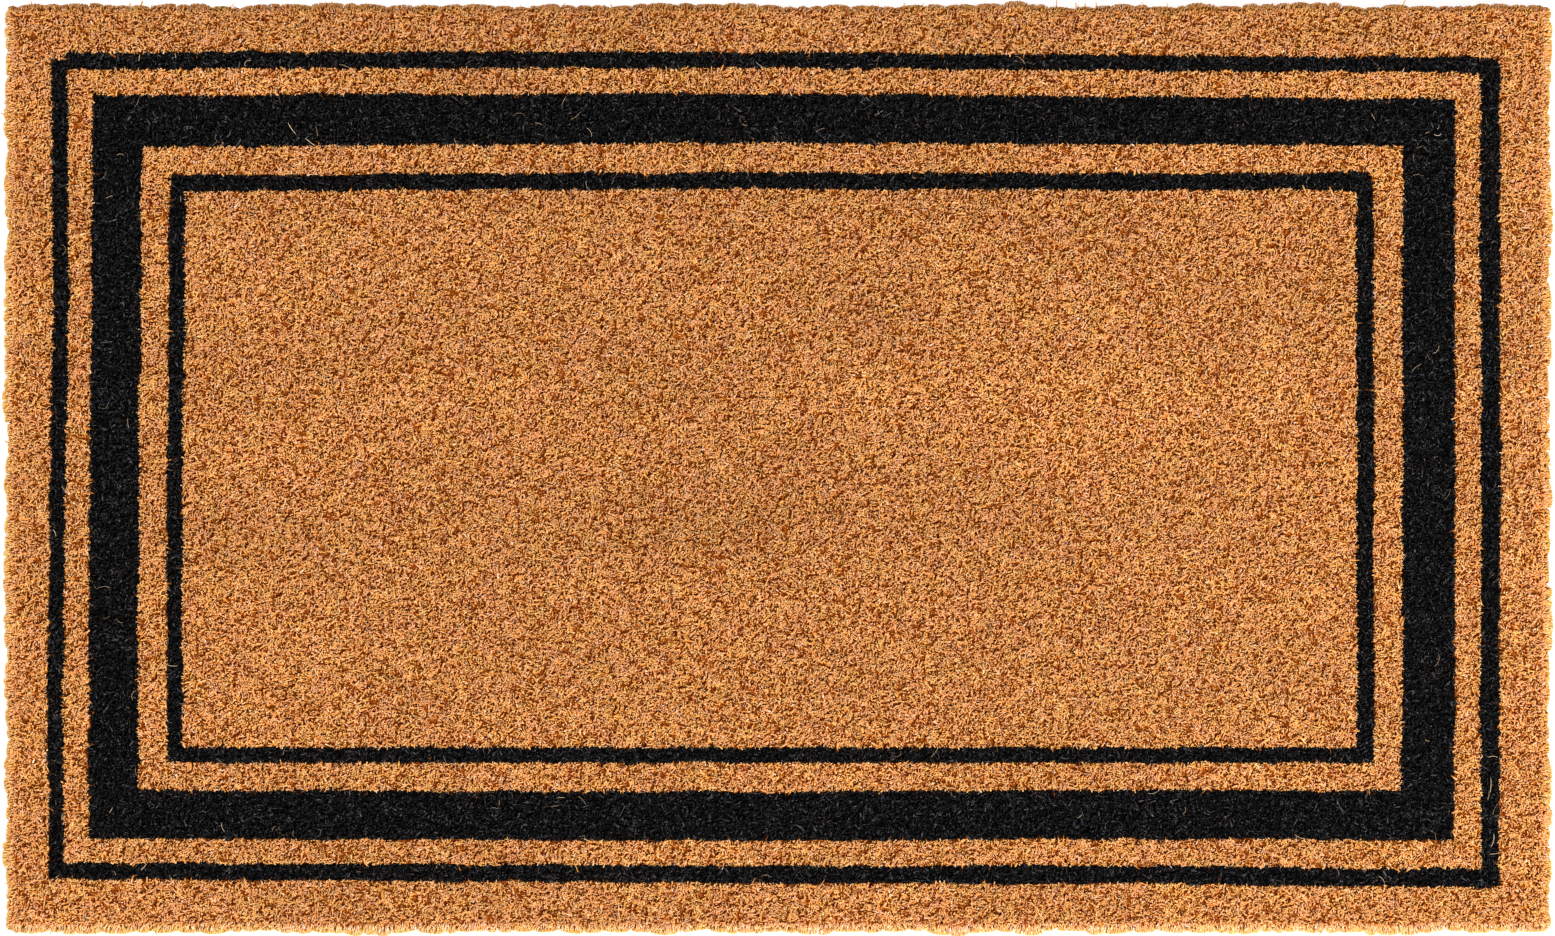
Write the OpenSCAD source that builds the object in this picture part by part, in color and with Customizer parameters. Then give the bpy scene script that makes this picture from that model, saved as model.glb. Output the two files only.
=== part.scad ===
// Coir door mat: a vinyl backing sheet that carries a bed of sheared coconut-fibre pile.
// The pile is dyed in three rectangular stripes, one inside the other, and each zone of
// one colour is its own solid. The mat lies on the XY plane, centred on the origin.

/* [Mat] */
// Length of the mat, along X
mat_l = 762; // [600:1:1000]
// Width of the mat, along Y
mat_w = 457; // [400:1:700]
// Height of the mat, sheet and pile together
mat_h = 15; // [10:0.5:25]
// Corner radius of the trimmed pile
corner_r = 5; // [2:0.5:15]

/* [Backing] */
// Thickness of the vinyl sheet
sheet_t = 2.5; // [1.5:0.1:5]
// How far the sheet stands back from the edge of the pile
sheet_setback = 1.5; // [0.5:0.1:1.9]

/* [Dyed stripes] */
// Width of the plain border outside the outer stripe
border_w = 24.5; // [15:0.5:40]
// Width of the outer stripe
outer_stripe_w = 7.5; // [5:0.5:12]
// Width of the plain band between the outer and the wide stripe
outer_band_w = 13; // [8:0.5:20]
// Width of the wide stripe
wide_stripe_w = 24; // [15:0.5:30]
// Width of the plain band between the wide and the inner stripe
inner_band_w = 15; // [8:0.5:20]
// Width of the inner stripe
inner_stripe_w = 7.5; // [5:0.5:12]
// How far the outer stripe was printed off centre, along X
outer_drift = -1.5; // [-4:0.5:4]
// How far the wide stripe was printed off centre, along X
wide_drift = -2.5; // [-4:0.5:4]
// How far the inner stripe was printed off centre, along X
inner_drift = -3.5; // [-4:0.5:4]

/* [Hidden] */
$fn = 48;

// Insets of the stripes' outer and inner outlines from the mat's edge
outer_from = border_w;
outer_to = outer_from + outer_stripe_w;
wide_from = outer_to + outer_band_w;
wide_to = wide_from + wide_stripe_w;
inner_from = wide_to + inner_band_w;
inner_to = inner_from + inner_stripe_w;

pile_h = mat_h - sheet_t;
sheet_corner_r = corner_r - sheet_setback;

coir = "#c17e49";
dyed_coir = "#1b191a";
vinyl = "#2a2827";

// A rectangle with round corners, centred on the origin
module rounded(l, w, r) {
    square([l - 2 * r, w], center = true);
    square([l, w - 2 * r], center = true);
    for (x = [-1, 1], y = [-1, 1])
        translate([x * (l / 2 - r), y * (w / 2 - r)]) circle(r);
}

// The area inside a stripe outline that lies inset from the mat's edge
module inside(inset, drift) {
    translate([drift, 0]) square([mat_l - 2 * inset, mat_w - 2 * inset], center = true);
}

// The pile stands on the sheet and is sheared level on top
module pile() {
    translate([0, 0, sheet_t]) linear_extrude(pile_h) children();
}

// The part of the pile between two stripe outlines
module pile_ring(from, from_drift, to, to_drift) {
    pile() difference() {
        inside(from, from_drift);
        inside(to, to_drift);
    }
}

module vinyl_backing() {
    color(vinyl) linear_extrude(sheet_t)
        rounded(mat_l - 2 * sheet_setback, mat_w - 2 * sheet_setback, sheet_corner_r);
}

module border_pile() {
    color(coir) pile() difference() {
        rounded(mat_l, mat_w, corner_r);
        inside(outer_from, outer_drift);
    }
}

module outer_stripe_pile() {
    color(dyed_coir) pile_ring(outer_from, outer_drift, outer_to, outer_drift);
}

module outer_band_pile() {
    color(coir) pile_ring(outer_to, outer_drift, wide_from, wide_drift);
}

module wide_stripe_pile() {
    color(dyed_coir) pile_ring(wide_from, wide_drift, wide_to, wide_drift);
}

module inner_band_pile() {
    color(coir) pile_ring(wide_to, wide_drift, inner_from, inner_drift);
}

module inner_stripe_pile() {
    color(dyed_coir) pile_ring(inner_from, inner_drift, inner_to, inner_drift);
}

module centre_field_pile() {
    color(coir) pile() inside(inner_to, inner_drift);
}

vinyl_backing();
border_pile();
outer_stripe_pile();
outer_band_pile();
wide_stripe_pile();
inner_band_pile();
inner_stripe_pile();
centre_field_pile();
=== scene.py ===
"""A coir door mat: a bed of sheared coconut-fibre bristles, dyed in stripes, on a vinyl sheet."""

import itertools
import math

import bpy
import numpy as np
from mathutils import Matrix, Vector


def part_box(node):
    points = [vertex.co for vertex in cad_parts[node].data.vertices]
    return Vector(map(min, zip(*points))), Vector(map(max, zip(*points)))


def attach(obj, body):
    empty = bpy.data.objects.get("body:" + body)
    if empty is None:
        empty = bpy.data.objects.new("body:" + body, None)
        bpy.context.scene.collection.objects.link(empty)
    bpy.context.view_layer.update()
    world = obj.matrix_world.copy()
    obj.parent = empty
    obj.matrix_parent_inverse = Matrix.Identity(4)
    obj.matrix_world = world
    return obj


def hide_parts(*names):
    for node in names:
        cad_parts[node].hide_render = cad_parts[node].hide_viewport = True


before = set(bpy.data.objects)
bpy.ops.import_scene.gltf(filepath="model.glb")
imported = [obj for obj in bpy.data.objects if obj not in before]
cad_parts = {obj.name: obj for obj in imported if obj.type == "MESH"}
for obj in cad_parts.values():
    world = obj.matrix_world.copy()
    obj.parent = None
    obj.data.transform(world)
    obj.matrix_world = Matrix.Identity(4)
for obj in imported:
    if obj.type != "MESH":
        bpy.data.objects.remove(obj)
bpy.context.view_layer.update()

MM = 0.001
rng = np.random.default_rng(11)

# ---------------------------------------------------------------- the frame's places and sizes

ZONES = [
    "border_pile",
    "outer_stripe_pile",
    "outer_band_pile",
    "wide_stripe_pile",
    "inner_band_pile",
    "inner_stripe_pile",
    "centre_field_pile",
]
DYED = ("outer_stripe_pile", "wide_stripe_pile", "inner_stripe_pile")

MAT_LOW, MAT_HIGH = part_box("border_pile")
MAT_SIZE = np.array([MAT_HIGH.x - MAT_LOW.x, MAT_HIGH.y - MAT_LOW.y])
PILE_TOP = MAT_HIGH.z
SHEET_LOW, SHEET_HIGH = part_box("vinyl_backing")
SHEET_TOP = SHEET_HIGH.z

# The radius of the round corners, of the pile and of the sheet
CORNER_R = 3.5 * MM

# ---------------------------------------------------------------- camera, lights and floor

VIEW_WIDTH = 766.5 * MM
VIEW_MIDDLE = (-0.3 * MM, -0.1 * MM)
LENS_MM, SENSOR_MM = 150, 36

# How the strength of the light from all round falls from the horizon, 0, to overhead, 1
HORIZON_FADE = {"From Min": 0.08, "From Max": 0.35, "To Min": 1.03, "To Max": 0.53}

# How far the floor goes on to each side, in metres, and its paint
FLOOR_REACH = 30
FLOOR_PAINT = {
    "Base Color": (0.93, 0.93, 0.93, 1),
    "Roughness": 0.85,
    "Specular IOR Level": 0.2,
    "Emission Color": (1, 1, 1, 1),
    "Emission Strength": 0.45,
}


def make_camera():
    """Looks straight down on the middle of the mat, which nearly fills the picture."""
    data = bpy.data.cameras.new("camera")
    data.lens, data.sensor_width = LENS_MM, SENSOR_MM
    camera = bpy.data.objects.new("camera", data)
    camera.location = (*VIEW_MIDDLE, PILE_TOP + VIEW_WIDTH * LENS_MM / SENSOR_MM)
    bpy.context.collection.objects.link(camera)
    bpy.context.scene.camera = camera


def softbox(name, place, size, power):
    """A square area light at place, in metres, that faces the middle of the mat. Power in watts."""
    data = bpy.data.lights.new(name, "AREA")
    data.size, data.energy = size, power
    light = bpy.data.objects.new(name, data)
    light.location = place
    light.rotation_mode = "QUATERNION"
    light.rotation_quaternion = (-light.location).to_track_quat("-Z", "Y")
    bpy.context.collection.objects.link(light)


def pale_world():
    """Light from all round, white at the horizon like the floor and dimmer overhead."""
    world = bpy.data.worlds.new("studio")
    world.use_nodes = True
    tree = world.node_tree
    place = tree.nodes.new("ShaderNodeTexCoord")
    split = tree.nodes.new("ShaderNodeSeparateXYZ")
    fade = tree.nodes.new("ShaderNodeMapRange")
    for key, number in HORIZON_FADE.items():
        fade.inputs[key].default_value = number
    tree.links.new(place.outputs["Generated"], split.inputs["Vector"])
    tree.links.new(split.outputs["Z"], fade.inputs["Value"])
    tree.links.new(fade.outputs["Result"], tree.nodes["Background"].inputs["Strength"])
    tree.nodes["Background"].inputs["Color"].default_value = (1, 1, 1, 1)
    return world


def make_studio():
    """A pale floor, lit from below as on a light table, a key light and soft light all round."""
    softbox("key", place=(0.7, -0.9, 2.3), size=0.7, power=96)
    softbox("fill", place=(-1.4, 1.0, 1.9), size=1.8, power=24)
    bpy.context.scene.world = pale_world()
    bpy.context.scene.view_settings.view_transform = "Standard"

    mesh = bpy.data.meshes.new("floor")
    reach = FLOOR_REACH
    corners = [(-reach, -reach, 0), (reach, -reach, 0), (reach, reach, 0), (-reach, reach, 0)]
    mesh.from_pydata(corners, [], [(0, 1, 2, 3)])
    floor = bpy.data.objects.new("floor", mesh)
    bpy.context.collection.objects.link(floor)
    paint = bpy.data.materials.new("pale_floor")
    paint.use_nodes = True
    shader = paint.node_tree.nodes["Principled BSDF"]
    for key, number in FLOOR_PAINT.items():
        shader.inputs[key].default_value = number
    mesh.materials.append(paint)


# ---------------------------------------------------------------- materials


class Nodes:
    """A material's node tree, with short calls to add and join nodes."""

    def __init__(self, name):
        self.material = bpy.data.materials.new(name)
        self.material.use_nodes = True
        self.tree = self.material.node_tree
        self.shader = self.tree.nodes["Principled BSDF"]

    def add(self, kind, **settings):
        """A new node of this kind, with these settings."""
        node = self.tree.nodes.new(kind)
        for key, value in settings.items():
            setattr(node, key, value)
        return node

    def join(self, output, node_input):
        self.tree.links.new(output, node_input)

    def place(self):
        return self.add("ShaderNodeTexCoord").outputs["Object"]

    def attribute(self, name):
        return self.add("ShaderNodeAttribute", attribute_name=name).outputs["Fac"]

    def noise(self, scale, detail=2.0, roughness=0.5, stretch=None):
        """Noise with about scale lumps in a metre, times stretch along each axis."""
        node = self.add("ShaderNodeTexNoise")
        node.inputs["Scale"].default_value = scale
        node.inputs["Detail"].default_value = detail
        node.inputs["Roughness"].default_value = roughness
        place = self.place()
        if stretch is not None:
            mapping = self.add("ShaderNodeMapping")
            mapping.inputs["Scale"].default_value = stretch
            self.join(place, mapping.inputs["Vector"])
            place = mapping.outputs["Vector"]
        self.join(place, node.inputs["Vector"])
        return node.outputs["Fac"]

    def ramp(self, value, stops):
        """A colour for each value, from stops of (value, colour)."""
        node = self.add("ShaderNodeValToRGB")
        elements = node.color_ramp.elements
        while len(elements) < len(stops):
            elements.new(0.5)
        for element, (place, colour) in zip(elements, stops, strict=True):
            element.position = place
            element.color = (*colour, 1)
        self.join(value, node.inputs["Fac"])
        return node.outputs["Color"]

    def spread(self, value, low, high, to_low, to_high):
        """The value with its range from low to high stretched to the new range, and no further."""
        node = self.add("ShaderNodeMapRange")
        settings = {"From Min": low, "From Max": high, "To Min": to_low, "To Max": to_high}
        for key, number in settings.items():
            node.inputs[key].default_value = number
        self.join(value, node.inputs["Value"])
        return node.outputs["Result"]

    def plus(self, first, second):
        node = self.add("ShaderNodeMath", operation="ADD")
        self.join(first, node.inputs[0])
        self.join(second, node.inputs[1])
        return node.outputs["Value"]

    def times(self, first, second):
        node = self.add("ShaderNodeMix", data_type="RGBA", blend_type="MULTIPLY")
        node.inputs["Factor"].default_value = 1
        self.join(first, node.inputs["A"])
        self.join(second, node.inputs["B"])
        return node.outputs["Result"]

    def finish(self, colour, rough, height, bump_distance, bump_strength=0.5):
        """Joins up the shader, with a bump from height, and returns the material."""
        bump = self.add("ShaderNodeBump")
        bump.inputs["Strength"].default_value = bump_strength
        bump.inputs["Distance"].default_value = bump_distance
        self.join(height, bump.inputs["Height"])
        self.join(colour, self.shader.inputs["Base Color"])
        self.join(rough, self.shader.inputs["Roughness"])
        self.join(bump.outputs["Normal"], self.shader.inputs["Normal"])
        return self.material


def natural_bristle():
    """Undyed coir: straw, gold, tan and a few dark husk fibres, in redder and yellower patches.
    Painted shade makes each bristle browner and darker towards its root, and less so on the mat's
    walls, which get more light."""
    n = Nodes("natural_bristle")
    tone = n.ramp(
        n.attribute("tone"),
        [
            (0.00, (0.33, 0.080, 0.002)),
            (0.18, (0.67, 0.266, 0.051)),
            (0.45, (0.79, 0.410, 0.136)),
            (0.80, (0.79, 0.485, 0.260)),
            (1.00, (0.85, 0.640, 0.490)),
        ],
    )
    patch = n.ramp(n.noise(95, 3), [(0.36, (0.97, 0.93, 1.04)), (0.62, (0.98, 1.02, 0.92))])
    # Glow's top stop is the painted golden highlight on the walls' lit rim; near 0 it is the painted
    # shade along the top edge
    glow = n.ramp(
        n.attribute("glow"),
        [
            (0.00, (0.52, 0.48, 0.46)),
            (0.20, (0.85, 0.84, 0.86)),
            (0.40, (1, 1, 1)),
            (0.70, (1.24, 1.26, 1.22)),
            (1.00, (0.91, 0.99, 0.74)),
        ],
    )
    # Painted shade: darker and browner towards each bristle's root, lifted by painted light on the
    # lit walls
    wall_painted_light = n.spread(n.attribute("glow"), 0.7, 0.97, 0, 0.3)
    shade = n.ramp(
        n.plus(n.attribute("along"), wall_painted_light),
        [(0.0, (0.56, 0.15, 0.006)), (0.45, (0.95, 0.66, 0.28)), (0.85, (1, 1, 1))],
    )
    colour = n.times(n.times(tone, patch), n.times(glow, shade))
    rough = n.spread(n.noise(900), 0.3, 0.7, 0.46, 0.70)
    n.shader.inputs["Specular IOR Level"].default_value = 0.0
    return n.finish(colour, rough, n.noise(5200, 3, 0.6, (1, 1, 0.25)), 0.05 * MM)


def loose_fibre():
    """Pale straw fibres that were shed or pulled out, dustier than the pile."""
    n = Nodes("loose_fibre")
    tone = n.ramp(
        n.attribute("tone"),
        [(0.0, (0.30, 0.20, 0.12)), (0.5, (0.62, 0.42, 0.25)), (1.0, (0.85, 0.68, 0.48))],
    )
    fleck = n.ramp(n.noise(700, 2), [(0.35, (0.80, 0.76, 0.70)), (0.65, (1, 1, 1))])
    rough = n.spread(n.noise(900), 0.3, 0.7, 0.46, 0.70)
    n.shader.inputs["Specular IOR Level"].default_value = 0.25
    return n.finish(n.times(tone, fleck), rough, n.noise(5200, 3, 0.6), 0.05 * MM)


def dyed_bristle():
    """Coir dyed black from the top, with greyer fibres that took less of the dye."""
    n = Nodes("dyed_bristle")
    tone = n.ramp(
        n.attribute("tone"),
        [
            (0.00, (0.0004, 0.0004, 0.0005)),
            (0.55, (0.0032, 0.0029, 0.0031)),
            (0.85, (0.0150, 0.0136, 0.0134)),
            (1.00, (0.0920, 0.0850, 0.0790)),
        ],
    )
    patch = n.ramp(n.noise(40, 3), [(0.35, (0.75, 0.80, 1.0)), (0.65, (1.0, 0.9, 0.86))])
    rough = n.spread(n.noise(900), 0.3, 0.7, 0.42, 0.66)
    n.shader.inputs["Specular IOR Level"].default_value = 0.16
    return n.finish(n.times(tone, patch), rough, n.noise(5200, 3, 0.6, (1, 1, 0.25)), 0.05 * MM)


def shaded_packed_natural():
    """The lower pile, where bristles stand too close to be told apart, painted dark as the shade deep
    among them.
    """
    n = Nodes("shaded_packed_natural")
    # Painted shade: near-black to dark red-brown, darker than the bristles above
    strand = n.ramp(
        n.noise(1500, 4, 0.65, (1, 1, 0.12)),
        [(0.38, (0.06, 0.006, 0.0)), (0.52, (0.28, 0.055, 0.002)), (0.66, (0.62, 0.21, 0.02))],
    )
    rough = n.spread(n.noise(700), 0.3, 0.7, 0.7, 0.9)
    n.shader.inputs["Specular IOR Level"].default_value = 0.1
    return n.finish(strand, rough, n.noise(1500, 4, 0.65, (1, 1, 0.12)), 0.8 * MM, 1.0)


def packed_dyed():
    """The lower pile under a stripe."""
    n = Nodes("packed_dyed")
    strand = n.ramp(
        n.noise(1500, 4, 0.65, (1, 1, 0.12)),
        [(0.30, (0.0006, 0.0006, 0.0007)), (0.80, (0.004, 0.0038, 0.004))],
    )
    rough = n.spread(n.noise(700), 0.3, 0.7, 0.75, 0.95)
    n.shader.inputs["Specular IOR Level"].default_value = 0.08
    return n.finish(strand, rough, n.noise(1500, 4, 0.65, (1, 1, 0.12)), 0.8 * MM, 1.0)


def soft_vinyl():
    """Dark flexible vinyl with a fine leathery grain and scuffed high spots."""
    n = Nodes("soft_vinyl")
    colour = n.ramp(n.noise(35, 4), [(0.3, (0.020, 0.018, 0.017)), (0.7, (0.040, 0.036, 0.033))])
    rough = n.spread(n.noise(120, 3), 0.3, 0.7, 0.48, 0.68)
    return n.finish(colour, rough, n.noise(1400, 2, 0.6), 0.15 * MM)


# ---------------------------------------------------------------- mesh building


def mesh_piece(name, points, triangles, material, values=None, atlas=None, smooth=False):
    """A mesh of triangles from arrays. values holds a number per point for each attribute name,
    and atlas holds each point's place on the piece's texture."""
    mesh = bpy.data.meshes.new(name)
    count = len(triangles)
    corners = np.ascontiguousarray(triangles, np.int32).ravel()
    mesh.vertices.add(len(points))
    mesh.vertices.foreach_set("co", np.ascontiguousarray(points, np.float32).ravel())
    mesh.loops.add(3 * count)
    mesh.loops.foreach_set("vertex_index", corners)
    mesh.polygons.add(count)
    mesh.polygons.foreach_set("loop_start", np.arange(0, 3 * count, 3, dtype=np.int32))
    mesh.polygons.foreach_set("use_smooth", np.full(count, smooth))
    mesh.update(calc_edges=True)
    for key, numbers in (values or {}).items():
        mesh.attributes.new(key, "FLOAT", "POINT")
        mesh.attributes[key].data.foreach_set("value", np.ascontiguousarray(numbers, np.float32))
    if atlas is not None:
        layer = mesh.uv_layers.new(name="OFBake")
        layer.uv.foreach_set("vector", np.ascontiguousarray(atlas[corners], np.float32).ravel())
    mesh.materials.append(material)
    piece = bpy.data.objects.new(name, mesh)
    bpy.context.collection.objects.link(piece)
    return piece


class Ripple:
    """A smooth random number along a line or over the plane, the same each time it is asked."""

    def __init__(self, lengths, amplitude, turns=4):
        count = turns * len(lengths)
        self.pitch = np.repeat(lengths, turns) * rng.uniform(0.75, 1.3, count)
        self.heading = rng.uniform(0, 2 * np.pi, count)
        self.phase = rng.uniform(0, 2 * np.pi, count)
        self.scale = amplitude / math.sqrt(count / 2)

    def along(self, s):
        waves = np.sin(2 * np.pi * np.asarray(s)[..., None] / self.pitch + self.phase)
        return self.scale * waves.sum(-1)

    def over(self, x, y):
        total = np.zeros(np.shape(x))
        for pitch, heading, phase in zip(self.pitch, self.heading, self.phase, strict=True):
            total += np.sin(2 * np.pi * (x * np.cos(heading) + y * np.sin(heading)) / pitch + phase)
        return self.scale * total


# ---------------------------------------------------------------- the stripes' outlines

# How far each printed stripe runs outside its true lines, in mm, at five even steps along a side
BOW = {
    "outer_stripe_pile": {
        "left": (2, 2.5, 1, -0.5, 0.7),
        "right": (0, 0, 0.5, 0, 0),
        "bottom": (-1.5, -0.5, 0.5, 0.5, 2.5),
        "top": (0.5, 1, 1, -0.5, -1.5),
    },
    "wide_stripe_pile": {
        "left": (1.5, 1.5, 1, 0, -0.5),
        "right": (-1, -0.5, -0.5, -0.5, -0.5),
        "bottom": (-0.5, 0, 0.5, -0.5, 0),
        "top": (-0.5, 0.5, 1, 0, -1),
    },
    "inner_stripe_pile": {
        "left": (1, 1, 1, 0, -0.5),
        "right": (0, 0, 0, 0, -0.5),
        "bottom": (1, 1, 1, 1, 1),
        "top": (-0.5, 0.5, 1, 0.5, 0.5),
    },
}

# How far each edge of a stripe bled beyond its true width, in mm, at the two ends of a side
BLEED = {
    "outer_stripe_pile": {
        "left": (0, 0.2),
        "right": (0.8, 1.3),
        "bottom": (0.3, 0.9),
        "top": (0.4, 0),
    },
    "wide_stripe_pile": {
        "left": (0.2, 0.2),
        "right": (1, 1),
        "bottom": (0, 0.2),
        "top": (0.9, -0.5),
    },
    "inner_stripe_pile": {
        "left": (0.1, 0.1),
        "right": (0.5, 0.5),
        "bottom": (0.1, 0.1),
        "top": (0.2, 0.5),
    },
}
SIDES = ("left", "right", "bottom", "top")

# The outermost line was printed with a bite out of its top left corner and a round top right one
BITE = (7 * MM, 3 * MM)
ROUND_R = 6 * MM


class Outline:
    """The line where one zone ends and the next one in begins, as it was printed. It is the
    outer line of its stripe, which the bleed widens by 1, or the inner one, which it widens by -1."""

    def __init__(self, zone, stripe, widens):
        low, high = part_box(zone)
        self.bow, self.bleed = BOW[stripe], BLEED[stripe]
        self.x, self.y = (low.x, high.x), (low.y, high.y)
        self.widens = widens
        self.outermost = zone == ZONES[1]
        self.slow = {side: Ripple([110 * MM, 50 * MM], 0.22 * MM, 3) for side in SIDES}
        self.quick = {side: Ripple([22 * MM, 9 * MM], 0.18 * MM, 3) for side in SIDES}

    def outwards(self, side, along):
        """How far this side lies outside its true line, at places along it."""
        start, end = self.y if side in ("left", "right") else self.x
        bow = np.interp(along, np.linspace(start, end, len(self.bow[side])), self.bow[side])
        bleed = np.interp(along, (start, end), self.bleed[side])
        ripple = self.slow[side].along(along) + self.quick[side].along(along)
        return (bow + self.widens * bleed) * MM + ripple

    def depths(self, x, y):
        """How far inside each of the four sides each point lies."""
        return {
            "left": x - self.x[0] + self.outwards("left", y),
            "right": self.x[1] + self.outwards("right", y) - x,
            "bottom": y - self.y[0] + self.outwards("bottom", x),
            "top": self.y[1] + self.outwards("top", x) - y,
        }

    def holds(self, x, y):
        """Whether each point lies inside the outline."""
        depth = self.depths(x, y)
        held = np.minimum.reduce(list(depth.values())) > 0
        if self.outermost:
            held &= (depth["left"] > BITE[0]) | (depth["top"] > BITE[1])
            gap_x, gap_y = ROUND_R - depth["right"], ROUND_R - depth["top"]
            held &= np.hypot(np.maximum(gap_x, 0), np.maximum(gap_y, 0)) < ROUND_R
        return held


OUTLINES = [
    Outline(zone, stripe, widens)
    for zone, stripe, widens in zip(ZONES[1:], np.repeat(DYED, 2), (1, -1) * len(DYED), strict=True)
]


def zone_of(x, y):
    """The number in ZONES of the zone that each point lies in."""
    return sum(outline.holds(x, y).astype(int) for outline in OUTLINES)


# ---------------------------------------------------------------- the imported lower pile

# The step of its grid, how far below the mat's top it ends, and how far in from the mat's edge
ROOT_STEP = 3 * MM
ROOT_DEPTH = 5.0 * MM
ROOT_SETBACK = 2.2 * MM


def grid_lines(low, high, inner):
    """Positions from low to high about ROOT_STEP apart, with a line at each of the inner ones."""
    stops = [low, *sorted(inner), high]
    lines = [low]
    for start, end in zip(stops[:-1], stops[1:], strict=True):
        count = max(1, round((end - start) / ROOT_STEP))
        lines += [start + (end - start) * (i + 1) / count for i in range(count)]
    return np.array(lines)


def root_grid():
    """The nominal grid over the mat, and the same grid bent so that zones end on their outlines."""
    us = grid_lines(MAT_LOW.x, MAT_HIGH.x, [x for o in OUTLINES for x in o.x])
    vs = grid_lines(MAT_LOW.y, MAT_HIGH.y, [y for o in OUTLINES for y in o.y])
    edge = Ripple([40 * MM, 14 * MM], 0.35 * MM)
    x, y = np.meshgrid(us, vs, indexing="ij")
    u, v = x.copy(), y.copy()
    for j, place in enumerate(vs):
        lefts = [(o.x[0], -o.outwards("left", place)) for o in OUTLINES]
        rights = [(o.x[1], o.outwards("right", place)) for o in OUTLINES]
        inset = ROOT_SETBACK + edge.along(place)
        knots = [(MAT_LOW.x, inset), *lefts, *rights[::-1], (MAT_HIGH.x, -inset)]
        x[:, j] += np.interp(us, *zip(*knots, strict=True))
    for i, place in enumerate(us):
        lows = [(o.y[0], -o.outwards("bottom", place)) for o in OUTLINES]
        highs = [(o.y[1], o.outwards("top", place)) for o in OUTLINES]
        inset = ROOT_SETBACK + edge.along(place)
        knots = [(MAT_LOW.y, inset), *lows, *highs[::-1], (MAT_HIGH.y, -inset)]
        y[i, :] += np.interp(vs, *zip(*knots, strict=True))
    return u, v, x, y


def prisms(cells, x, y, bottom, top):
    """A closed mesh that stands on the marked cells of a grid, from bottom to the heights in top."""
    nodes = np.zeros(x.shape, bool)
    for i, j in ((0, 0), (1, 0), (0, 1), (1, 1)):
        nodes[i : i + cells.shape[0], j : j + cells.shape[1]] |= cells
    index = np.full(x.shape, -1)
    index[nodes] = np.arange(nodes.sum())
    count = int(nodes.sum())
    upper = np.column_stack([x[nodes], y[nodes], top[nodes]])
    lower = np.column_stack([x[nodes], y[nodes], np.full(count, bottom)])

    i, j = np.nonzero(cells)
    a, b, c, d = index[i, j], index[i + 1, j], index[i + 1, j + 1], index[i, j + 1]
    faces = [
        np.column_stack([a, b, c]),
        np.column_stack([a, c, d]),
        np.column_stack([c, b, a]) + count,
        np.column_stack([d, c, a]) + count,
    ]
    walled = np.pad(cells, 1)
    sides = {(0, -1): (a, b), (1, 0): (b, c), (0, 1): (c, d), (-1, 0): (d, a)}
    for (di, dj), (start, end) in sides.items():
        open_side = ~walled[i + 1 + di, j + 1 + dj]
        s, e = start[open_side], end[open_side]
        faces += [np.column_stack([s, s + count, e + count]), np.column_stack([s, e + count, e])]
    return np.concatenate([upper, lower]), np.concatenate(faces)


def make_roots(materials):
    """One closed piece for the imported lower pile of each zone."""
    u, v, x, y = root_grid()
    middle_u = (u[:-1, :-1] + u[1:, 1:]) / 2
    middle_v = (v[:-1, :-1] + v[1:, 1:]) / 2
    zone = np.zeros(middle_u.shape, int)
    for o in OUTLINES:
        zone += (middle_u > o.x[0]) & (middle_u < o.x[1]) & (middle_v > o.y[0]) & (middle_v < o.y[1])
    hollows = Ripple([7 * MM, 12 * MM], 0.35 * MM, 6).over(x, y)
    top = PILE_TOP - ROOT_DEPTH + hollows
    pieces = {}
    for number, name in enumerate(ZONES):
        points, faces = prisms(zone == number, x, y, SHEET_TOP, top)
        material = materials["packed_dyed" if name in DYED else "shaded_packed_natural"]
        pieces[name] = mesh_piece(name.replace("_pile", "_roots"), points, faces, material)
    return pieces


# ---------------------------------------------------------------- bristles

SIDES_OF_BRISTLE = 3

# The most faces in a piece, and the empty share round each bristle's cell of the texture
FACES_PER_PIECE = 190_000
CELL_MARGIN = 0.15


def unit(v):
    return v / np.maximum(np.linalg.norm(v, axis=-1, keepdims=True), 1e-12)


def tubes(paths, radii):
    """Three-sided closed tubes along paths (bristle, ring, xyz), of one radius for each ring.
    Returns points, triangles, and each point's share of the way along and round the bristle."""
    count, rings, _ = paths.shape
    ahead = unit(np.diff(paths, axis=1, append=2 * paths[:, -1:] - paths[:, -2:-1]))
    across = unit(np.cross(ahead, [0.0, 0.0, 1.0]) + [1e-6, 0, 0])
    over = np.cross(across, ahead)
    turn = rng.uniform(0, 2 * np.pi, count)[:, None, None]
    points = []
    for k in range(SIDES_OF_BRISTLE):
        angle = turn + 2 * np.pi * k / SIDES_OF_BRISTLE
        points.append(paths + radii[..., None] * (np.cos(angle) * across + np.sin(angle) * over))
    points = np.stack(points, axis=2)
    faces = [[2, 1, 0]]
    for r in range(rings - 1):
        low, high = r * SIDES_OF_BRISTLE, (r + 1) * SIDES_OF_BRISTLE
        for k in range(SIDES_OF_BRISTLE):
            m = (k + 1) % SIDES_OF_BRISTLE
            faces += [[low + k, low + m, high + m], [low + k, high + m, high + k]]
    end = (rings - 1) * SIDES_OF_BRISTLE
    faces.append([end, end + 1, end + 2])
    per = rings * SIDES_OF_BRISTLE
    triangles = np.array(faces)[None] + per * np.arange(count)[:, None, None]
    along = np.tile(np.repeat(np.linspace(0, 1, rings), SIDES_OF_BRISTLE), count)
    around = np.tile(np.linspace(0, 1, SIDES_OF_BRISTLE), rings * count)
    return points.reshape(-1, 3), triangles.reshape(-1, 3), along, around


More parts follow.
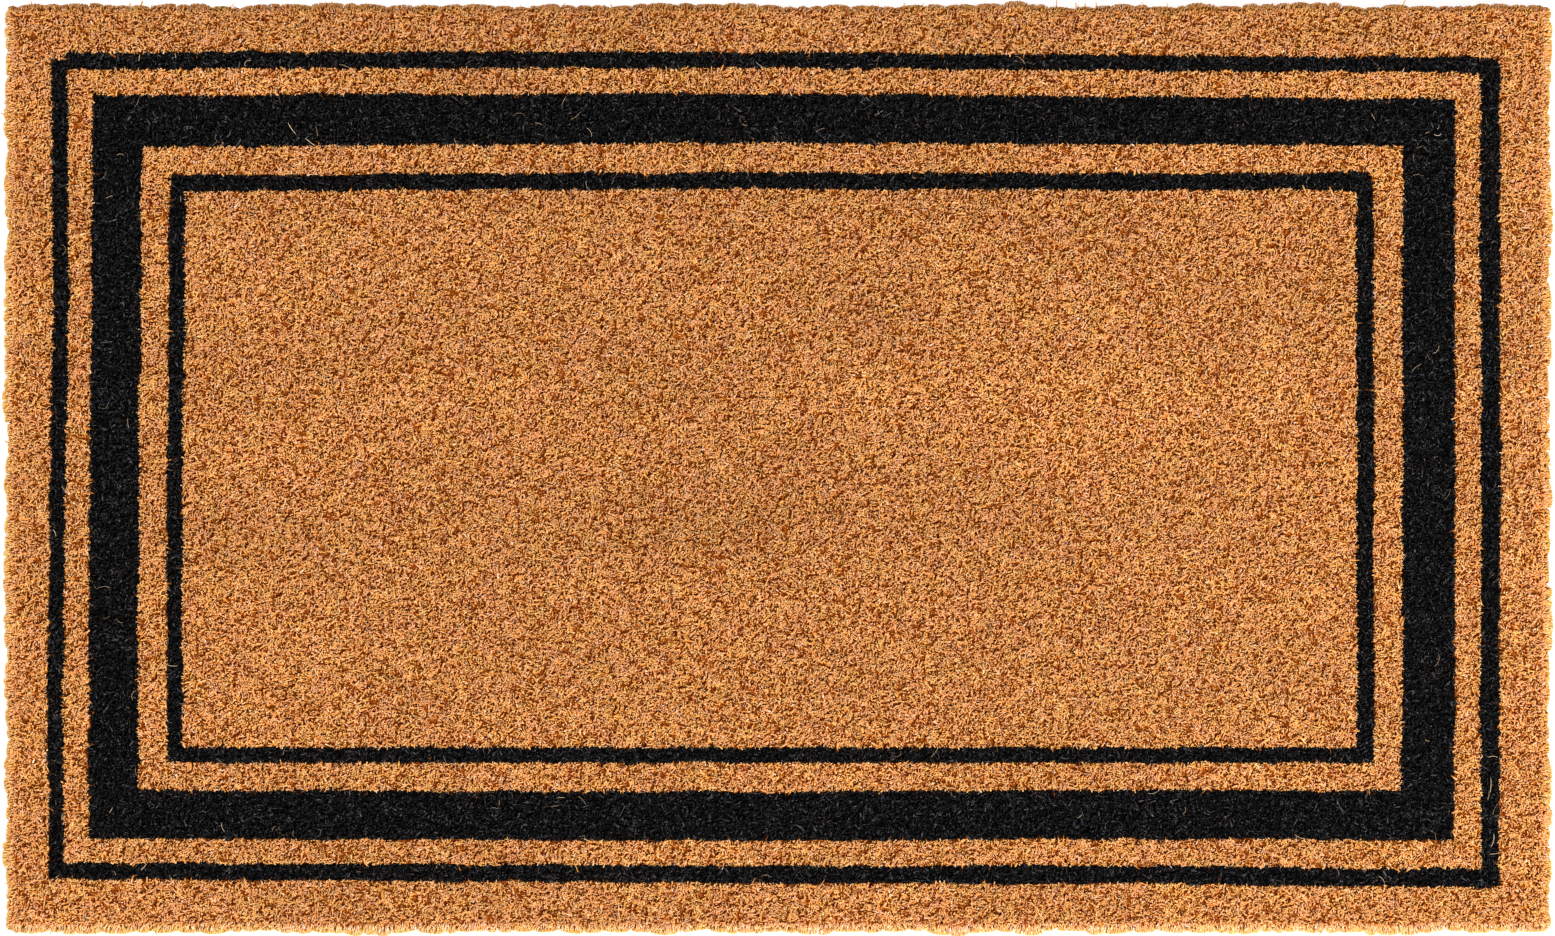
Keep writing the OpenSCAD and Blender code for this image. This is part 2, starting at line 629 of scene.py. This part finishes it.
class Bristles:
    """The bristles of one zone, in batches that have the same number of rings."""

    def __init__(self):
        self.batches = []

    def add(self, paths, radii, tones, glows):
        self.batches.append((paths, radii, tones, glows))

    def faces(self):
        """How many triangles the bristles have: their sides, and a cap at each end."""
        shapes = [paths.shape for paths, *_ in self.batches]
        return sum(count * (2 * SIDES_OF_BRISTLE * (rings - 1) + 2) for count, rings, _ in shapes)

    def pieces(self, name, material):
        """The pieces that hold these bristles, side by side along the mat."""
        parts = max(1, math.ceil(self.faces() / FACES_PER_PIECE))
        feet = np.concatenate([paths[:, 0, 0] for paths, *_ in self.batches])
        cuts = np.quantile(feet, np.linspace(0, 1, parts + 1))
        cuts[-1] += 1
        labels = [f"{name}_{part + 1}" if parts > 1 else name for part in range(parts)]
        return [
            self.piece(label, material, start, end)
            for label, start, end in zip(labels, cuts[:-1], cuts[1:], strict=True)
        ]

    def piece(self, name, material, start, end):
        """The bristles whose feet lie from start to end. Each has a cell of its own in the atlas."""
        batches = []
        point_count = bristle_count = 0
        for paths, radii, tones, glows in self.batches:
            here = (paths[:, 0, 0] >= start) & (paths[:, 0, 0] < end)
            points, triangles, along, around = tubes(paths[here], radii[here])
            owner = np.repeat(np.arange(here.sum()), SIDES_OF_BRISTLE * paths.shape[1])
            cell = bristle_count + owner
            tone, glow = tones[here][owner], glows[here][owner]
            batches.append((points, triangles + point_count, along, around, cell, tone, glow))
            point_count += len(points)
            bristle_count += here.sum()
        joined = map(np.concatenate, zip(*batches, strict=True))
        points, triangles, along, around, cell, tone, glow = joined
        cells = math.ceil(math.sqrt(bristle_count))
        corner = np.column_stack([cell % cells, cell // cells])
        inside = CELL_MARGIN + (1 - 2 * CELL_MARGIN) * np.column_stack([around, along])
        return mesh_piece(
            name,
            points,
            triangles,
            material,
            values={"along": along, "tone": tone, "glow": glow},
            atlas=(corner + inside) / cells,
            smooth=True,
        )


# ---------------------------------------------------------------- the bed of the pile

# The pile's bristles per square metre, their median radius, how far they lean, and how far below
# the mat's top their tips end: at least, and further on average. Upper ones first.
LAYERS = [
    {"density": 1.00 / MM**2, "radius": 0.23 * MM, "lean": 0.19, "sunk": 0.2 * MM, "drop": 0.8 * MM},
    {"density": 0.42 / MM**2, "radius": 0.42 * MM, "lean": 0.38, "sunk": 1.6 * MM, "drop": 0.6 * MM},
]

# Only the bristles' visible upper length is made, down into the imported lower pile
VISIBLE = 5.0 * MM
MOST_DROP = 3.8 * MM
RADIUS_SPREAD, RADIUS_LIMITS = 0.25, (0.55, 1.7)

# Some bristles are bent: their middles lie off the line from end to end by these shares of their
# lean, to either side and back. Some have fallen over by about this much.
BENT_SHARE, SIDE_BEND, SAG = 0.12, 0.18, 0.15
FALLEN_SHARE, FALLEN_RUN = 0.08, 1.8 * MM

# A bristle has the colour of the zone that this share of its lean reaches into
PRINTED_AT = 0.7

# The tufts: how far apart, how unevenly, how far they draw in their bristles, and how much
# they differ in lean, height and shade
TUFT_PITCH = np.array([4.9, 3.2]) * MM
TUFT_JITTER = 0.48
TUFT_PINCH = 0.26
TUFT_LEAN, TUFT_SUNK, TUFT_SHADE = 0.085, 0.20 * MM, 0.028

# The strip along the mat's edge that has bristles of its own
EDGE_STRIP = 4.0 * MM


class Tufts:
    """The tufts that the bristles stand in: the middle of each, its lean, height and shade."""

    def __init__(self):
        self.low = np.array([MAT_LOW.x, MAT_LOW.y]) - 3 * TUFT_PITCH
        span = np.array([MAT_HIGH.x, MAT_HIGH.y]) + 3 * TUFT_PITCH - self.low
        self.cells = np.ceil(span / TUFT_PITCH).astype(int)
        count = self.cells.prod()
        i, j = np.divmod(np.arange(count), self.cells[1])
        jitter = rng.uniform(-TUFT_JITTER, TUFT_JITTER, (count, 2))
        self.middle = self.low + (np.column_stack([i, j]) + 0.5 + jitter) * TUFT_PITCH
        self.lean = rng.normal(0, TUFT_LEAN, (count, 2))
        self.sunk = np.abs(rng.normal(0, TUFT_SUNK, count))
        self.shade = rng.normal(0, TUFT_SHADE, count)

    def nearest(self, points):
        """The number of the tuft whose middle is nearest to each point."""
        cell = ((points - self.low) / TUFT_PITCH).astype(int)
        best = np.full(len(points), np.inf)
        tuft = np.zeros(len(points), int)
        for di, dj in itertools.product((-1, 0, 1), repeat=2):
            number = (cell[:, 0] + di) * self.cells[1] + cell[:, 1] + dj
            gap = np.linalg.norm(self.middle[number] - points, axis=1)
            closer = gap < best
            best[closer] = gap[closer]
            tuft[closer] = number[closer]
        return tuft


TUFTS = Tufts()

# How the pile leans this way and that from place to place, and how its glow varies
COMB = [Ripple([14 * MM, 30 * MM], 0.016, 5) for _ in "xy"]
STREAKS = Ripple([45 * MM, 90 * MM, 160 * MM], 0.030, 5)
PATCHES = Ripple([9 * MM, 18 * MM, 40 * MM], 0.010, 6)

# A bristle's glow says how light it is beside its own colour: PLAIN_GLOW leaves it as it is, and
# the bed's go from 0, the darkest, to MOST_GLOW. STREAK_STRETCH draws the streaks out in length.
PLAIN_GLOW, MOST_GLOW = 0.4, 0.7
STREAK_STRETCH = 0.35

# The change in glow that darkens the mat towards its middle, and in broad bands along it: where each
# band lies across the mat, how far it spreads, and the change
MIDDLE_DARKENING = -0.10
BANDS = [
    (215 * MM, 16 * MM, -0.07),
    (128 * MM, 10 * MM, -0.05),
    (60 * MM, 16 * MM, -0.04),
    (-34 * MM, 18 * MM, -0.07),
]

# How much natural bristles differ in tone, and how much of that is left on the dark side
TONE_SPREAD, DARKER_SHARE = 0.18, 0.65


def glow_at(x, y, tuft_shade=0):
    """The glow of the pile at these places: darker towards the middle, broad bands and streaks along
    the mat, patches, and each tuft's own shade."""
    shade = STREAKS.over(STREAK_STRETCH * x, y) + PATCHES.over(x, y)
    shade += MIDDLE_DARKENING * (1 - (x / MAT_HIGH.x) ** 2)
    for middle, spread, change in BANDS:
        shade += change * np.exp(-(((y - middle) / spread) ** 2))
    return np.clip(PLAIN_GLOW + tuft_shade + shade, 0, MOST_GLOW)


def tones_for(zone, count):
    """A tone for each bristle of a zone, from 0, the darkest, to 1. The natural ones lie round
    the middle, further on the light side than on the dark one."""
    if ZONES[zone] in DYED:
        return rng.uniform(0, 1, count)
    spread = rng.normal(0, TONE_SPREAD, count)
    return np.clip(0.50 + np.where(spread > 0, 1, DARKER_SHARE) * spread, 0, 1)


def inside_mat(points, inset):
    """Whether each point lies in the mat's round-cornered outline, made smaller by inset."""
    half = MAT_SIZE / 2 - inset
    gap = np.maximum(np.abs(points) - (half - CORNER_R), 0)
    return np.linalg.norm(gap, axis=1) < CORNER_R


def add_layer(bed, layer):
    """Adds one layer of the pile's bristles to the zones of the bed that they were printed in."""
    low, high = (MAT_LOW.x, MAT_LOW.y), (MAT_HIGH.x, MAT_HIGH.y)
    foot = rng.uniform(low, high, (int(layer["density"] * MAT_SIZE.prod()), 2))
    foot = foot[inside_mat(foot, EDGE_STRIP - 1 * MM)]
    x, y = foot.T
    count = len(foot)

    tuft = TUFTS.nearest(foot)
    lean = TUFTS.lean[tuft] + np.column_stack([comb.over(x, y) for comb in COMB])
    run = VISIBLE * (lean + rng.normal(0, layer["lean"], (count, 2)))
    run += TUFT_PINCH * (TUFTS.middle[tuft] - foot)
    fallen = rng.uniform(size=count) < FALLEN_SHARE
    run[fallen] += rng.normal(0, FALLEN_RUN, (fallen.sum(), 2))

    drop = layer["sunk"] + TUFTS.sunk[tuft] + rng.exponential(layer["drop"], count)
    root = np.column_stack([foot, np.full(count, PILE_TOP - VISIBLE)])
    tip = np.column_stack([foot + run, PILE_TOP - np.minimum(drop, MOST_DROP)])
    across = rng.normal(0, SIDE_BEND, count)[:, None] * np.column_stack([-run[:, 1], run[:, 0]])
    middle = (root + tip) / 2 + np.column_stack([across - SAG * run, 0 * x])
    radius = layer["radius"] * np.clip(rng.lognormal(0, RADIUS_SPREAD, count), *RADIUS_LIMITS)

    zone = zone_of(*(foot + PRINTED_AT * run).T)
    bent = rng.uniform(size=count) < BENT_SHARE
    for number, bristles in enumerate(bed):
        for kind, rings, taper in (
            (bent, [root, middle, tip], [1.0, 1.0, 0.75]),
            (~bent, [root, tip], [1.0, 0.8]),
        ):
            here = (zone == number) & kind
            paths = np.stack([ring[here] for ring in rings], axis=1)
            glows = glow_at(x[here], y[here], TUFTS.shade[tuft[here]])
            bristles.add(paths, radius[here, None] * taper, tones_for(number, here.sum()), glows)


# ---------------------------------------------------------------- the mat's edge

# The parts of the mat's outline from its bottom left corner on, a side and a corner arc in turn
STRAIGHT_X, STRAIGHT_Y = MAT_SIZE - 2 * CORNER_R
CORNER_ARC = np.pi / 2 * CORNER_R
EDGE_PARTS = [STRAIGHT_X, CORNER_ARC, STRAIGHT_Y, CORNER_ARC] * 2
EDGE_LENGTH = sum(EDGE_PARTS)


def edge_points(place):
    """Points and outward directions at places along the mat's round-cornered outline."""
    place = np.asarray(place) % EDGE_LENGTH
    points, normals = np.zeros((len(place), 2)), np.zeros((len(place), 2))
    start, heading = 0.0, 0.0
    corner = np.array([-STRAIGHT_X, -MAT_SIZE[1]]) / 2
    for k, length in enumerate(EDGE_PARTS):
        here = (place >= start) & (place < start + length)
        t = place[here] - start
        way = np.array([np.cos(heading), np.sin(heading)])
        out = np.array([way[1], -way[0]])
        if k % 2 == 0:
            points[here], normals[here] = corner + t[:, None] * way, out
            corner = corner + length * way
        else:
            centre = corner - CORNER_R * out
            angle = heading - np.pi / 2 + t / CORNER_R
            normals[here] = np.column_stack([np.cos(angle), np.sin(angle)])
            points[here] = centre + CORNER_R * normals[here]
            heading += np.pi / 2
            corner = centre + CORNER_R * np.array([np.sin(heading), -np.cos(heading)])
        start += length
    return points, normals


# Bristles for each metre of edge: those in the strip just inside it, and those down its wall
STRIP_COUNT = 5.6 / MM
WALL_COUNT = 9.5 / MM

# How far behind the tufts' outer line the wall's bristles end, on average, and how much more or
# less that is along the top and the bottom
WALL_DEPTH, TOP_SHARE = 0.20 * MM, 0.5

# How far below the mat's top the bristles end: between these on the wall, and on average in the
# strip, where none ends lower than the most
WALL_FALL = (0.2 * MM, 4.5 * MM)
STRIP_FALL, MOST_FALL = 0.8 * MM, 6 * MM

# The uppermost ends stand back by the shoulder, which rounds off the mat's rim
SHOULDER = 0.6 * MM

# The few bristles that stick out, how far on average, and how thin they are
WHISKER_SHARE, WHISKER_REACH, WHISKER_R = 0.003, 1.3 * MM, 0.11 * MM

# The bristles' roots draw together to this share of their tuft, with some spread along the edge.
# They stand in the sheet this far in from the edge, and further for those of the strip.
GATHER, ROOT_SPREAD, TIP_SPREAD = 0.85, 1.0 * MM, 0.30 * MM
WALL_ROOT, STRIP_ROOT, ROOT_UNEVEN = 1.9 * MM, 3.0 * MM, 0.6 * MM

# Where a curved bristle's middle is on the way up: across, and in height
CURVE = np.array([0.38, 0.38, 0.6])
STRAIGHT_SHARE = 0.5
EDGE_RADII = (0.18 * MM, 0.34 * MM)

# The tone of the mat's edge at its two ends, and how much painted light makes it lighter along the
# bottom and painted shade darker along the top
EDGE_TONE, PAINTED_LIGHT_TONE = 0.54, 0.15
WALL_TONE_SPREAD, STRIP_TONE_SPREAD = 0.12, 0.18

# The wall's glow: painted shade along the top, which lies in shade, and a painted golden highlight
# along the other sides, which catch the light
SHADED_TOP_GLOW, LIT_RIM_GLOW = 0.03, 0.97

# How much further out the tufts stand along the bottom, the sides and the top
STAND_OUT = np.array([0.75, 0.0, -0.4]) * MM

# The widths of the tufts round the edge, with finer ones on the left side, how far they stand
# out and how much they differ in that, and how far they fall back towards their sides
TUFT_WIDTHS = (4 * MM, 16 * MM)
LEFT_TUFT_WIDTHS = (3 * MM, 12 * MM)
TUFT_REACH, REACH_SPREAD = 0.6, 0.38
NOTCH = 1.1 * MM

# A nick in the bottom edge: where it is along the mat, how wide and how deep
NICK_X, NICK_HALF, NICK_DEPTH = 270 * MM, 1.9 * MM, 3.6 * MM


class EdgeTufts:
    """The tufts round the mat's edge: where each one starts, and how far it stands out."""

    def __init__(self):
        starts = [0.0]
        while starts[-1] < EDGE_LENGTH:
            _, out = edge_points([starts[-1]])
            widths = LEFT_TUFT_WIDTHS if out[0, 0] < -0.9 else TUFT_WIDTHS
            starts.append(starts[-1] + rng.uniform(*widths))
        self.starts = np.array(starts) * EDGE_LENGTH / starts[-1]
        self.reach = rng.normal(TUFT_REACH, REACH_SPREAD, len(starts)) * MM
        self.waves = Ripple([130 * MM, 60 * MM, 30 * MM], 0.50 * MM)

    def outwards(self, place):
        """How far the tufts stand outside the mat's outline, and where the middle of each is, at
        places along it in metres."""
        number = np.searchsorted(self.starts, place, "right") - 1
        number = np.clip(number, 0, len(self.starts) - 2)
        width = self.starts[number + 1] - self.starts[number]
        centre = self.starts[number] + width / 2
        side = np.abs(place - centre) / (width / 2)
        return self.reach[number] + self.waves.along(place) - NOTCH * side**3, centre


def nick(points):
    """How far the nick pushes in the bristles at these points of the mat's outline."""
    across = np.abs(points[:, 0] - NICK_X) / NICK_HALF
    return np.where(points[:, 1] < 0, NICK_DEPTH * np.clip(1 - across, 0, 1), 0)


def edge_ends(wall, out):
    """How far behind the tufts' outer line, and below the mat's top, each bristle of the edge
    ends, and whether it is a whisker."""
    count = len(wall)
    fall = np.where(wall, rng.uniform(*WALL_FALL, count), rng.exponential(STRIP_FALL, count))
    mean_depth = WALL_DEPTH * (1 + TOP_SHARE * out[:, 1])
    depth = np.where(wall, rng.exponential(mean_depth), rng.uniform(0, EDGE_STRIP, count))
    depth += SHOULDER * np.clip(1 - fall / WALL_FALL[1], 0, 1) ** 2
    whisker = rng.uniform(size=count) < WHISKER_SHARE
    return np.where(whisker, -rng.exponential(WHISKER_REACH, count), depth), fall, whisker


def edge_feet(place, centre, inner):
    """Where in the sheet the bristles of the edge stand, whose tips are at these places."""
    count = len(place)
    place = centre + GATHER * (place - centre) + rng.normal(0, ROOT_SPREAD, count)
    points, out = edge_points(place)
    inset = WALL_ROOT + inner * STRIP_ROOT + np.abs(rng.normal(0, ROOT_UNEVEN, count))
    foot = points - inset[:, None] * out
    return np.column_stack([foot, np.full(count, SHEET_TOP - 0.2 * MM)])


def add_edge(bristles):
    """Full-length bristles down the outside of the mat, in tufts that fan out of the sheet."""
    tufts = EdgeTufts()
    count = int((STRIP_COUNT + WALL_COUNT) * EDGE_LENGTH)
    wall = np.arange(count) < WALL_COUNT * EDGE_LENGTH
    place = rng.uniform(0, EDGE_LENGTH, count)
    outwards, centre = tufts.outwards(place)
    points, out = edge_points(place)
    depth, fall, whisker = edge_ends(wall, out)
    inner = np.clip(depth / EDGE_STRIP, 0, 1)

    side = np.column_stack([-out[:, 1], out[:, 0]])
    outwards += np.interp(out[:, 1], [-1, 0, 1], STAND_OUT) - np.maximum(depth, nick(points))
    tip = points + outwards[:, None] * out
    tip += rng.normal(0, TIP_SPREAD, count)[:, None] * side
    root = edge_feet(place, centre, inner)
    end = np.column_stack([tip, PILE_TOP - 0.3 * MM - np.minimum(fall, MOST_FALL)])
    middle = (1 - CURVE) * root + CURVE * end

    radius = np.where(whisker, WHISKER_R, rng.uniform(*EDGE_RADII, count))
    spread = np.where(wall, WALL_TONE_SPREAD, STRIP_TONE_SPREAD) * rng.normal(0, 1, count)
    # Painted light and shade: the edge's tone is lighter along the bottom and darker along the top
    tone = np.clip(EDGE_TONE - PAINTED_LIGHT_TONE * out[:, 1] + spread, 0, 1)
    # Painted rim light and shade: the wall's tips are painted gold where light falls, and darker
    # along the shaded top
    rim = np.where(out[:, 1] > 0.7, SHADED_TOP_GLOW, LIT_RIM_GLOW)
    glow = inner**2 * glow_at(*tip.T) + (1 - inner**2) * rim
    straight = wall & (rng.uniform(size=count) < STRAIGHT_SHARE)
    for here, rings, taper in (
        (straight, [root, end], [1, 0.75]),
        (~straight, [root, middle, end], [1, 1, 0.75]),
    ):
        paths = np.stack([ring[here] for ring in rings], axis=1)
        bristles.add(paths, radius[here, None] * taper, tone[here], glow[here])


# ---------------------------------------------------------------- loose fibres

# Fibres that stand out on the real mat. Each has its middle in mm from the mat's middle, its
# length in mm, the way it points and how far it bends in degrees, and its tone from dark 0 to pale 1
NOTABLE = [
    (-315, 202, 4, 80, 10, 0.9),
    (-297, 203, 3, 100, 0, 0.5),
    (-261, 199, 6, 215, 140, 0.8),
    (-240, 168, 8, -58, 15, 0.9),
    (-231, 161, 7, -38, 10, 0.8),
    (-237, 150, 8, 31, 20, 1.0),
    (-230, 144, 7, 8, -40, 0.9),
    (308, 196, 3, 60, 20, 0.8),
    (320, 165, 3, 20, -30, 0.3),
    (325, 165, 5, -5, 110, 1.0),
    (325, 168, 3, 60, 90, 0.3),
    (-313, -197, 5, 48, 15, 0.9),
    (-327, -200, 3, 110, 40, 0.2),
    (-353, -172, 3, 85, 10, 1.0),
    (-79, -220, 12, 86, 8, 0.9),
    (352, -143, 6, 5, -50, 0.7),
    (351, -157, 9, 86, 15, 0.5),
    (350, -162, 5, 78, 20, 0.6),
    (352, -183, 8, -98, -40, 1.0),
    (353, -190, 7, 8, 15, 0.3),
    (297, -203, 6, -45, -60, 0.6),
    (304, -214, 9, -95, 40, 0.8),
    (348, -218, 10, 12, 25, 0.8),
    (320, -134, 3, -30, 80, 0.4),
    (-381, 207, 5, 170, 30, 0.3),
    (-381, 146, 4, 15, -20, 0.2),
    (381, 14, 4, 5, 30, 0.0),
]
NOTABLE_R = 0.15 * MM

# The other fibres, anywhere on the mat: how many, their lengths and radii in mm, and how far
# they bend, in radians
STRAYS = 330
STRAY_LENGTHS = (3, 9)
STRAY_RADII = (0.06, 0.12)
STRAY_BEND = 1.1
STRAY_RINGS = 6


def stray_paths(middle, length, heading, bend):
    """Curved lines that lie on the pile, bent by an angle over their length."""
    count = len(middle)
    steps = np.linspace(-0.5, 0.5, STRAY_RINGS)
    turn = heading[:, None] + bend[:, None] * steps
    way = np.stack([np.cos(turn), np.sin(turn)], axis=-1) * length[:, None, None] / STRAY_RINGS
    path = middle[:, None] + np.cumsum(way, axis=1) - way.sum(1, keepdims=True) / 2
    arch = rng.uniform(0.1, 0.8, count)[:, None] * MM * (1 - 4 * steps**2)
    return np.concatenate([path, (PILE_TOP - 0.2 * MM + arch)[..., None]], axis=2)


def make_strays(material):
    """Pale fibres that lie loose on the pile or stick out of the mat's edge."""
    x, y, length, heading, bend, tone = np.array(NOTABLE, float).T
    notable = stray_paths(
        np.column_stack([x, y]) * MM, length * MM, np.radians(heading), np.radians(bend)
    )
    middle = rng.uniform(-MAT_SIZE / 2, MAT_SIZE / 2, (STRAYS, 2)) * 0.985
    length = rng.uniform(*STRAY_LENGTHS, STRAYS) * MM
    heading = rng.uniform(0, 2 * np.pi, STRAYS)
    random = stray_paths(middle, length, heading, rng.normal(0, STRAY_BEND, STRAYS))
    taper = np.linspace(1, 0.7, STRAY_RINGS)
    strays = Bristles()
    strays.add(notable, np.full((len(notable), 1), NOTABLE_R) * taper, tone, 0 * tone)
    thin = rng.uniform(*STRAY_RADII, (STRAYS, 1)) * MM
    strays.add(random, thin * taper, rng.uniform(0, 1, STRAYS) ** 1.6, np.zeros(STRAYS))
    return strays.piece("loose_fibres", material, -1, 1)


# ---------------------------------------------------------------- the vinyl sheet

# The waffle grain under the sheet, and the bevel round its rim
GRAIN_STEP = 4 * MM
GRAIN_DEPTH = 0.35 * MM
RIM = 0.8 * MM
CORNER_LINES = 4


def sheet_lines(high):
    """Grid lines from -high to high: an even grain, and finer lines across the round corners."""
    inner = high - CORNER_R
    count = int(2 * inner / GRAIN_STEP)
    corner = np.linspace(inner, high, CORNER_LINES + 1)[1:]
    return np.concatenate([-corner[::-1], np.linspace(-inner, inner, count + 1), corner])


def make_sheet(material):
    """The backing sheet, with a waffle grain moulded into its underside and a rounded rim."""
    xs, ys = sheet_lines(SHEET_HIGH.x), sheet_lines(SHEET_HIGH.y)
    x, y = np.meshgrid(xs, ys, indexing="ij")
    cells = np.ones((len(xs) - 1, len(ys) - 1), bool)
    points, faces = prisms(cells, x, y, SHEET_LOW.z, np.full(x.shape, SHEET_TOP))
    i, j = np.indices(x.shape).reshape(2, -1)
    inner = (i > CORNER_LINES) & (i < len(xs) - 1 - CORNER_LINES)
    inner &= (j > CORNER_LINES) & (j < len(ys) - 1 - CORNER_LINES)
    points[x.size :, 2] += GRAIN_DEPTH * (inner & ((i + j) % 2 == 1))

    # Each square of lines at a corner becomes a quarter disc
    start = np.array([SHEET_HIGH.x, SHEET_HIGH.y]) - CORNER_R
    past = np.maximum(np.abs(points[:, :2]) - start, 0) / CORNER_R
    pulled = past * np.sqrt(1 - past[:, ::-1] ** 2 / 2)
    points[:, :2] -= np.sign(points[:, :2]) * CORNER_R * (past - pulled)
    sheet = mesh_piece("vinyl_sheet", points, faces, material)
    bevel = sheet.modifiers.new("rim", "BEVEL")
    bevel.width = RIM
    bevel.segments = 3
    bevel.limit_method = "ANGLE"
    bevel.angle_limit = math.radians(60)
    return sheet


# ---------------------------------------------------------------- the model

make_camera()
make_studio()

materials = {
    make.__name__: make()
    for make in (
        natural_bristle,
        loose_fibre,
        dyed_bristle,
        shaded_packed_natural,
        packed_dyed,
        soft_vinyl,
    )
}

sheet = make_sheet(materials["soft_vinyl"])
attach(sheet, "root")
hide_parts("vinyl_backing")

roots = make_roots(materials)
bed = [Bristles() for zone in ZONES]
for layer in LAYERS:
    add_layer(bed, layer)
add_edge(bed[0])
for zone, bristles in zip(ZONES, bed, strict=True):
    dyed = zone in DYED
    material = materials["dyed_bristle" if dyed else "natural_bristle"]
    for piece in [roots[zone], *bristles.pieces(zone.replace("_pile", "_bristles"), material)]:
        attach(piece, "root")
        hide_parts(zone)

loose = make_strays(materials["loose_fibre"])
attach(loose, "root")
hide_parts("centre_field_pile")
